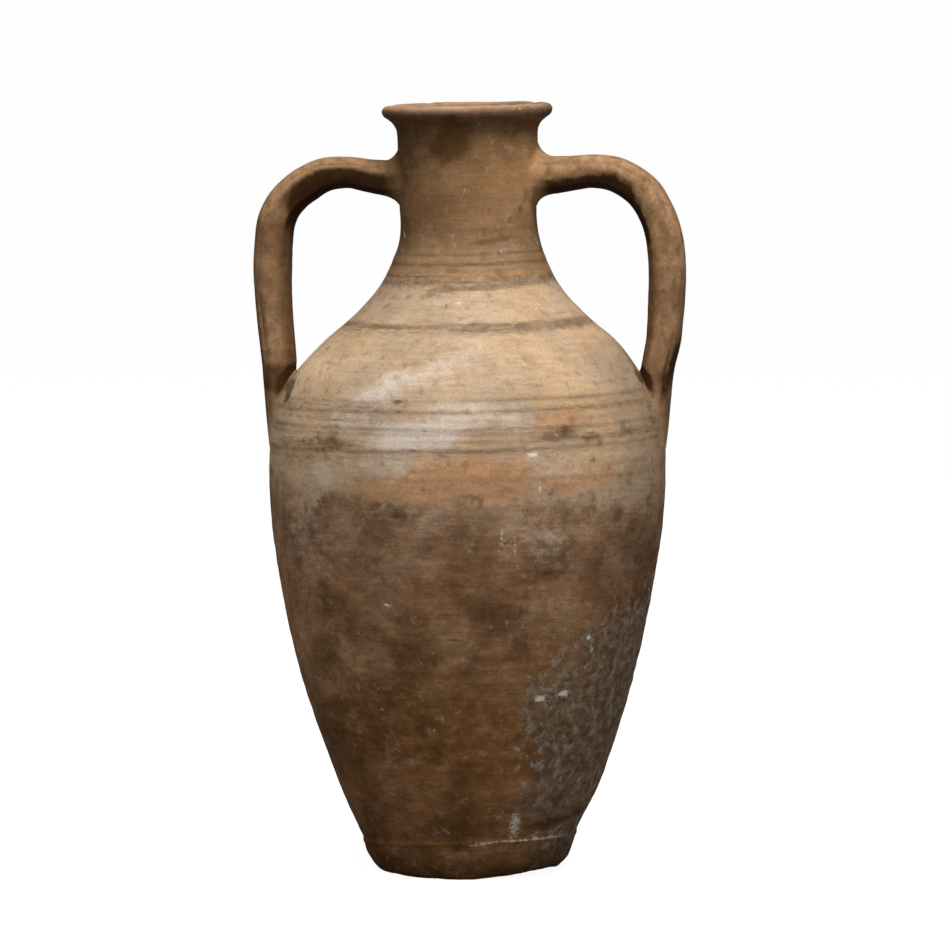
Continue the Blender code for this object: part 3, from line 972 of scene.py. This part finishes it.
class Graph:
    """Short ways to add and link the nodes of one material."""

    def __init__(self, tree):
        self.tree = tree
        self.place = self.add("ShaderNodeTexCoord").outputs["Object"]

    def add(self, kind, **settings):
        node = self.tree.nodes.new(kind)
        for name, value in settings.items():
            setattr(node, name, value)
        return node

    def feed(self, socket, value):
        if isinstance(value, bpy.types.NodeSocket):
            self.tree.links.new(value, socket)
        elif isinstance(value, tuple) and len(value) == 3 and socket.type == "RGBA":
            socket.default_value = (*value, 1.0)
        else:
            socket.default_value = value

    def field(self, name):
        """A number that the mesh stores on its points."""
        return self.add("ShaderNodeAttribute", attribute_name=name).outputs["Fac"]

    def math(self, operation, first, second=0.0, clamp=False):
        node = self.add("ShaderNodeMath", operation=operation, use_clamp=clamp)
        self.feed(node.inputs[0], first)
        self.feed(node.inputs[1], second)
        return node.outputs[0]

    def add_up(self, total, *others):
        for other in others:
            total = self.math("ADD", total, other)
        return total

    def times(self, product, *others):
        for other in others:
            product = self.math("MULTIPLY", product, other)
        return product

    def fade(self, value, low, high, start=0.0, end=1.0):
        """Start below low and end above high, with a smooth change between."""
        node = self.add("ShaderNodeMapRange", interpolation_type="SMOOTHSTEP")
        for socket, given in zip(node.inputs, (value, low, high, start, end)):
            self.feed(socket, given)
        return node.outputs[0]

    def noise(self, size, seed, stretch=(1.0, 1.0, 1.0), detail=3.0, roughness=0.55, swirl=0.0):
        """Noise from about 0.25 to 0.75 with features of a size in mm."""
        moved = self.add("ShaderNodeMapping")
        self.feed(moved.inputs["Vector"], self.place)
        moved.inputs["Location"].default_value = (0.731 * seed, 0.377 * seed, 0.593 * seed)
        moved.inputs["Scale"].default_value = tuple(1 / part for part in stretch)
        node = self.add("ShaderNodeTexNoise")
        self.feed(node.inputs["Vector"], moved.outputs["Vector"])
        node.inputs["Scale"].default_value = 1 / (size * MM)
        node.inputs["Detail"].default_value = detail
        node.inputs["Roughness"].default_value = roughness
        node.inputs["Distortion"].default_value = swirl
        return node.outputs["Fac"]

    def mix(self, factor, first, second, blend="MIX"):
        node = self.add("ShaderNodeMix", data_type="RGBA", blend_type=blend)
        node.clamp_factor = True
        self.feed(node.inputs[0], factor)
        self.feed(node.inputs[6], first)
        self.feed(node.inputs[7], second)
        return node.outputs[2]

    def shade(self, colour, amount):
        """A colour made darker or lighter by a number that varies about 1."""
        node = self.add("ShaderNodeVectorMath", operation="SCALE")
        self.feed(node.inputs[0], colour)
        self.feed(node.inputs["Scale"], amount)
        return node.outputs[0]

    def vary(self, colour, noise, low, high):
        """A colour shaded by a noise, from low where the noise is low to high."""
        return self.shade(colour, self.fade(noise, 0.30, 0.70, low, high))

    def deepen(self, colour, taken, least):
        """A colour with a little taken off each channel, which warms its dark parts."""
        for operation, given in (("SUBTRACT", taken), ("MAXIMUM", least)):
            node = self.add("ShaderNodeVectorMath", operation=operation)
            self.feed(node.inputs[0], colour)
            node.inputs[1].default_value = given
            colour = node.outputs[0]
        return colour

    def colour_by_level(self, rows):
        share = self.math("DIVIDE", self.field("level"), TOP_LEVEL)
        ramp = self.add("ShaderNodeValToRGB")
        elements = ramp.color_ramp.elements
        while len(elements) < len(rows):
            elements.new(0.5)
        for element, (level, colour) in zip(elements, rows):
            element.position = level * MM / TOP_LEVEL
            element.color = (*colour, 1.0)
        self.feed(ramp.inputs["Fac"], share)
        return ramp.outputs["Color"]


WHEEL_MARKS = (9.0, 9.0, 1.0)
BRUSH_MARKS = (7.0, 7.0, 1.0)
RUNS_DOWN = (1.0, 1.0, 1.7)


def torn(graph, field, noise, low, high, ragged=1.5):
    """A field with its edge torn by noise, from 0 to 1."""
    rough = graph.times(graph.math("SUBTRACT", noise, 0.5), ragged)
    return graph.fade(graph.add_up(field, rough), low, high)


class Noises:
    """The noises that the layers share, by size."""

    def __init__(self, graph):
        self.broad = graph.noise(42, 1, detail=5.0)
        self.cloudy = graph.noise(10, 2, detail=5.0, roughness=0.62, swirl=0.2)
        self.patchy = graph.noise(6.5, 13, (1.6, 1.6, 1.0), detail=5.0, roughness=0.65, swirl=0.2)
        self.grainy = graph.noise(2.2, 3, detail=4.0, roughness=0.65)
        self.turned = graph.noise(2.6, 4, WHEEL_MARKS, detail=3.0)
        self.brushed = graph.noise(1.4, 5, BRUSH_MARKS, detail=4.0, roughness=0.7)
        self.crusty = graph.noise(6.5, 7, (1.0, 1.0, 1.2), detail=5.0, roughness=0.62)
        self.blotchy = graph.noise(22, 14, (1.3, 1.3, 1.0), detail=6.0, roughness=0.62, swirl=0.7)


def bare_clay(graph, noises):
    """The clay body: brown by level, redder and darker in clouds, calmer on the neck."""
    plain = graph.colour_by_level(CLAY_BY_LEVEL)
    redder = graph.mix(1.0, plain, (1.06, 0.88, 0.72), "MULTIPLY")
    colour = graph.mix(graph.fade(noises.cloudy, 0.48, 0.66, 0.0, 0.45), plain, redder)
    greyer = graph.mix(1.0, colour, (0.92, 1.02, 1.18), "MULTIPLY")
    colour = graph.mix(graph.fade(noises.broad, 0.52, 0.66, 0.0, 0.8), colour, greyer)
    colour = graph.shade(colour, graph.fade(noises.broad, 0.32, 0.68, 0.68, 1.28))
    colour = graph.vary(colour, noises.cloudy, 0.90, 1.08)
    colour = graph.vary(colour, noises.patchy, 0.86, 1.12)
    colour = graph.shade(colour, graph.fade(noises.blotchy, 0.34, 0.66, 0.82, 1.12))
    colour = graph.vary(colour, noises.brushed, 0.86, 1.12)
    hazy = graph.fade(noises.blotchy, 0.56, 0.70, 0.0, 0.22)
    colour = graph.mix(hazy, colour, SLIP_GREY)
    calm = graph.fade(graph.field("level"), 0.440, 0.475, 0.0, 0.60)
    colour = graph.mix(calm, colour, plain)
    return graph.shade(colour, graph.fade(noises.turned, 0.28, 0.72, 0.92, 1.08))


def pale_slip(graph, noises):
    """The slip: buff, warmer or greyer in broad clouds, faintly streaked by the wheel."""
    colour = graph.mix(graph.fade(noises.broad, 0.42, 0.60), SLIP, SLIP_WARM)
    colour = graph.mix(graph.fade(noises.cloudy, 0.52, 0.70, 0.0, 0.28), colour, SLIP_GREY)
    colour = graph.vary(colour, noises.cloudy, 1.04, 0.94)
    colour = graph.shade(colour, graph.fade(noises.blotchy, 0.34, 0.62, 0.93, 1.05))
    return graph.shade(colour, graph.fade(noises.turned, 0.28, 0.72, 0.93, 1.06))


def limy(graph, noises, colour):
    """The grey limy stain with its pale crust, thickest along its edge."""
    both = graph.times(graph.add_up(noises.cloudy, noises.crusty), 0.5)
    lime = torn(graph, graph.field("lime"), both, 0.20, 0.90, 4.0)
    colour = graph.mix(graph.times(lime, 0.72), colour, LIME_DARK)
    blotted = graph.shade(colour, graph.fade(noises.patchy, 0.36, 0.62, 0.66, 1.20))
    colour = graph.mix(lime, colour, blotted)
    film = graph.fade(noises.crusty, 0.44, 0.62)
    colour = graph.mix(graph.times(lime, film, 0.70), colour, LIME_MID)
    away = graph.math("SUBTRACT", 1.0, lime)
    edge = graph.times(lime, away, 4.0)
    most = graph.times(graph.fade(noises.crusty, 0.52, 0.66), graph.fade(noises.grainy, 0.36, 0.54))
    crust = graph.times(lime, most, graph.math("ADD", edge, 0.40, clamp=True))
    return graph.mix(graph.times(crust, 0.85), colour, LIME_PALE), crust


def wall_layers(graph, noises):
    """The colour of the wall: clay, slip, stains, painted light and shade on its sides, grooves,
    painted bands and lime.
    """
    cover = torn(graph, graph.field("slip"), noises.cloudy, 0.06, 0.62)
    cover = graph.times(cover, graph.fade(noises.turned, 0.26, 0.46, 0.80, 1.0))
    colour = graph.mix(cover, bare_clay(graph, noises), pale_slip(graph, noises))
    ochre = torn(graph, graph.field("ochre"), noises.cloudy, 0.16, 0.62, 1.0)
    rich = graph.vary(OCHRE_COLOUR, noises.patchy, 0.85, 1.12)
    colour = graph.mix(graph.times(ochre, 0.92), colour, rich)
    wash = torn(graph, graph.field("wash"), noises.patchy, 0.10, 1.05, 1.2)
    wash = graph.times(wash, graph.fade(noises.turned, 0.30, 0.55, 0.80, 1.0))
    colour = graph.mix(graph.times(wash, 0.90), colour, WASH_COLOUR)
    # Painted light and shade on the sides of the neck and the belly.
    colour = graph.shade(colour, graph.field("tone"))
    broken = graph.fade(noises.brushed, 0.30, 0.58, 0.45, 1.0)
    grooves = graph.times(graph.field("turned_lines"), broken)
    colour = graph.mix(graph.times(grooves, 0.80), colour, GROOVE_COLOUR)
    bands = torn(graph, graph.field("bands"), noises.brushed, 0.06, 0.88, 1.7)
    faded = graph.fade(noises.blotchy, 0.38, 0.60, 0.64, 1.0)
    rubbed = graph.fade(noises.patchy, 0.34, 0.56, 0.72, 1.0)
    colour = graph.mix(graph.times(bands, faded, rubbed, 0.84), colour, BAND_COLOUR)
    return limy(graph, noises, colour)


def strap_layers(graph, noises):
    """The colour of the handles: rubbed paler in patches, and darkened by painted shade on their
    inner sides and undersides.
    """
    long_marks = graph.noise(8.0, 11, RUNS_DOWN, detail=5.0, roughness=0.6, swirl=0.4)
    colour = graph.mix(graph.fade(noises.cloudy, 0.38, 0.64, 0.2, 0.75), STRAP_COLOUR, STRAP_WORN)
    colour = graph.vary(colour, long_marks, 0.72, 1.22)
    # Painted shade on the strap's inner side, then on its undersides, the front of each arch and
    # the corner at its shoulder root.
    inner = torn(graph, graph.field("inner_side"), long_marks, 0.10, 0.95)
    colour = graph.mix(graph.times(inner, 0.55), colour, STRAP_PAINTED_SHADE)
    under = torn(graph, graph.field("under"), long_marks, 0.04, 0.48, 0.7)
    return graph.mix(graph.times(under, 0.94), colour, STRAP_PAINTED_SHADE)


def dirt_and_painted_light_layers(graph, noises, colour):
    """Soot with painted shadow, dark spots, pits, bright marks with a painted highlight, and dust,
    over walls and handles alike.
    """
    # Soot, and painted shadow under the lip, beside the straps and along the foot's bottom edge.
    soot_and_painted_shadows = torn(graph, graph.field("soot_and_painted_shadows"), noises.cloudy, 0.20, 1.0)
    colour = graph.mix(graph.times(soot_and_painted_shadows, 0.75), colour, SOOT_AND_SHADOW_COLOUR)
    spots = graph.noise(5.5, 8, detail=5.0, roughness=0.7)
    bare = graph.fade(graph.field("slip"), 0.2, 0.8, 1.0, 0.15)
    spots = graph.times(bare, graph.fade(spots, 0.62, 0.76, 0.0, 0.45))
    colour = graph.mix(spots, colour, graph.shade(colour, 0.50))
    colour = graph.mix(graph.times(graph.field("pits"), 0.26), colour, SOOT_AND_SHADOW_COLOUR)
    colour = graph.vary(colour, noises.grainy, 0.90, 1.10)
    # The marks include a painted highlight along the ridge above the foot.
    marks = torn(graph, graph.field("marks"), noises.grainy, 0.25, 0.85)
    colour = graph.mix(marks, colour, SPECK_AND_HIGHLIGHT_COLOUR)
    dust = graph.fade(graph.noise(1.5, 9, detail=2.0), 0.70, 0.80, 0.0, 0.30)
    return graph.mix(dust, colour, SLIP)


def clay(name):
    """Old fired clay. The mesh's fields say where each layer of colour lies."""
    material, tree, shader = new_material(name)
    graph = Graph(tree)
    noises = Noises(graph)
    colour, crust = wall_layers(graph, noises)
    colour = graph.mix(graph.field("strap"), colour, strap_layers(graph, noises))
    colour = dirt_and_painted_light_layers(graph, noises, colour)
    bare = graph.vary(INSIDE_COLOUR, noises.cloudy, 0.7, 1.3)
    colour = graph.mix(graph.field("inside"), colour, bare)
    colour = graph.deepen(colour, COLOUR_TAKEN, COLOUR_LEAST)
    graph.feed(shader.inputs["Base Color"], colour)
    graph.feed(shader.inputs["Roughness"], graph.fade(noises.cloudy, 0.30, 0.70, 0.72, 0.92))
    shader.inputs["Specular IOR Level"].default_value = CLAY_SHINE

    pores = graph.fade(graph.noise(1.3, 12, detail=3.0), 0.58, 0.75, 0.0, -0.6)
    height = graph.add_up(
        graph.times(noises.grainy, 0.7),
        pores,
        graph.times(noises.turned, 0.5),
        noises.patchy,
        graph.times(crust, 1.2),
    )
    bump = graph.add("ShaderNodeBump")
    bump.inputs["Strength"].default_value = BUMP_STRENGTH
    bump.inputs["Distance"].default_value = BUMP_HEIGHT
    graph.feed(bump.inputs["Height"], height)
    graph.feed(shader.inputs["Normal"], bump.outputs["Normal"])
    return material


def new_material(name):
    material = bpy.data.materials.new(name)
    material.use_nodes = True
    tree = material.node_tree
    return material, tree, tree.nodes["Principled BSDF"]


# ================================================================ stage, camera and light
def seen_or_bounced(tree, seen, bounced):
    """A number that is one value to the eye and another for the light it gives off."""
    path = tree.nodes.new("ShaderNodeLightPath")
    mix = tree.nodes.new("ShaderNodeMix")
    mix.inputs["A"].default_value = bounced
    mix.inputs["B"].default_value = seen
    tree.links.new(path.outputs["Is Camera Ray"], mix.inputs["Factor"])
    return mix.outputs["Result"]


def make_floor():
    """A pale paper floor, which gives back less light than it seems to."""
    mesh = bpy.data.meshes.new("floor")
    half = FLOOR_HALF
    corners = [(-half, -half, 0), (half, -half, 0), (half, half, 0), (-half, half, 0)]
    mesh.from_pydata(corners, [], [(0, 1, 2, 3)])
    floor = bpy.data.objects.new("floor", mesh)
    bpy.context.scene.collection.objects.link(floor)
    material, tree, shader = new_material("floor_paper")
    tone = seen_or_bounced(tree, FLOOR_SEEN, FLOOR_BOUNCED)
    tree.links.new(tone, shader.inputs["Base Color"])
    glow = seen_or_bounced(tree, FLOOR_GLOW, 0.0)
    tree.links.new(glow, shader.inputs["Emission Strength"])
    shader.inputs["Emission Color"].default_value = (1.0, 1.0, 1.0, 1.0)
    shader.inputs["Roughness"].default_value = 0.95
    shader.inputs["Specular IOR Level"].default_value = 0.1
    mesh.materials.append(material)


def make_world():
    world = bpy.data.worlds.new("studio")
    world.use_nodes = True
    background = world.node_tree.nodes["Background"]
    background.inputs["Color"].default_value = (1.0, 1.0, 1.0, 1.0)
    strength = seen_or_bounced(world.node_tree, BACKDROP_SEEN, BACKDROP_LIGHT)
    world.node_tree.links.new(strength, background.inputs["Strength"])
    bpy.context.scene.world = world
    bpy.context.scene.view_settings.view_transform = "Standard"


def aim(obj, target):
    obj.rotation_euler = (Vector(target) - obj.location).to_track_quat("-Z", "Y").to_euler()


def softbox(name, turn, elevation, distance, size, power):
    """A square light at a turn and elevation seen from the jar's middle."""
    azimuth = VIEW_AZIMUTH + math.radians(turn)
    rise = math.radians(elevation)
    light = bpy.data.lights.new(name, "AREA")
    light.shape = "SQUARE"
    light.size = size
    light.energy = power
    lamp = bpy.data.objects.new(name, light)
    lamp.location = (
        distance * math.cos(rise) * math.sin(azimuth),
        -distance * math.cos(rise) * math.cos(azimuth),
        JAR_MIDDLE + distance * math.sin(rise),
    )
    bpy.context.scene.collection.objects.link(lamp)
    aim(lamp, (0.0, 0.0, JAR_MIDDLE))


def make_camera():
    camera = bpy.data.objects.new("camera", bpy.data.cameras.new("camera"))
    camera.data.lens = LENS
    camera.data.sensor_width = SENSOR
    camera.data.clip_start = 0.1
    camera.data.clip_end = 50.0
    sin, cos = math.sin(VIEW_AZIMUTH), math.cos(VIEW_AZIMUTH)
    camera.location = (VIEW_DISTANCE * sin, -VIEW_DISTANCE * cos, VIEW_HEIGHT)
    bpy.context.scene.collection.objects.link(camera)
    aim(camera, (AIM_RIGHT * cos, AIM_RIGHT * sin, AIM_HEIGHT))
    bpy.context.scene.camera = camera


# ================================================================ the jar
OUTER_LINE, JOINTS = outer_line()
WALL_ROWS = slice(JOINTS[0], JOINTS[3] + 1)
NO_ROWS = np.empty((0, COLUMNS, 3))


def make_wall():
    base, normal = turned_points(OUTER_LINE)
    surface = wall_surface(base, normal)
    normals = grid_normals(surface)
    neck_in, shoulder_in, body_in = (inside_surface(part) for part in inner_line())
    rim, neck, belly, foot, _ = JOINTS
    underside_base, _ = turned_points(resampled(smooth_line(UNDERSIDE) * MM, INSIDE_SPACING))
    underside = settle(underside_base)

    def rows(start, end):
        part = slice(start, end + 1)
        return surface[part], Place(base[part]), normals[part]

    def ring(name, start, end, inside):
        outside, place, outward = rows(start, end)
        return wall_piece(name, outside, inside, place, outward)

    pieces = {
        "rim": ring("rim_lip", 0, rim, NO_ROWS),
        "neck": ring("neck_wall", rim, neck, neck_in),
        "shoulder": ring("shoulder_wall", neck, belly, shoulder_in),
        "foot_ring": ring("foot_turned", foot, len(surface) - 1, NO_ROWS),
    }
    outside, place, outward = rows(belly, foot)
    pieces["lower_body"] = lower_body("belly_wall", outside, body_in, underside, place, outward)
    return pieces


def main():
    pieces = make_wall()
    pieces["handle_right"] = make_handle("right_strap", RIGHT_ROUTE, 1)
    pieces["handle_left"] = make_handle("left_strap", LEFT_ROUTE, -1)
    material = clay("fired_clay")
    for node, piece in pieces.items():
        piece.data.materials.append(material)
        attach(piece, "root")
        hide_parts(node)
    make_floor()
    make_world()
    for box in SOFTBOXES:
        softbox(*box)
    make_camera()


main()
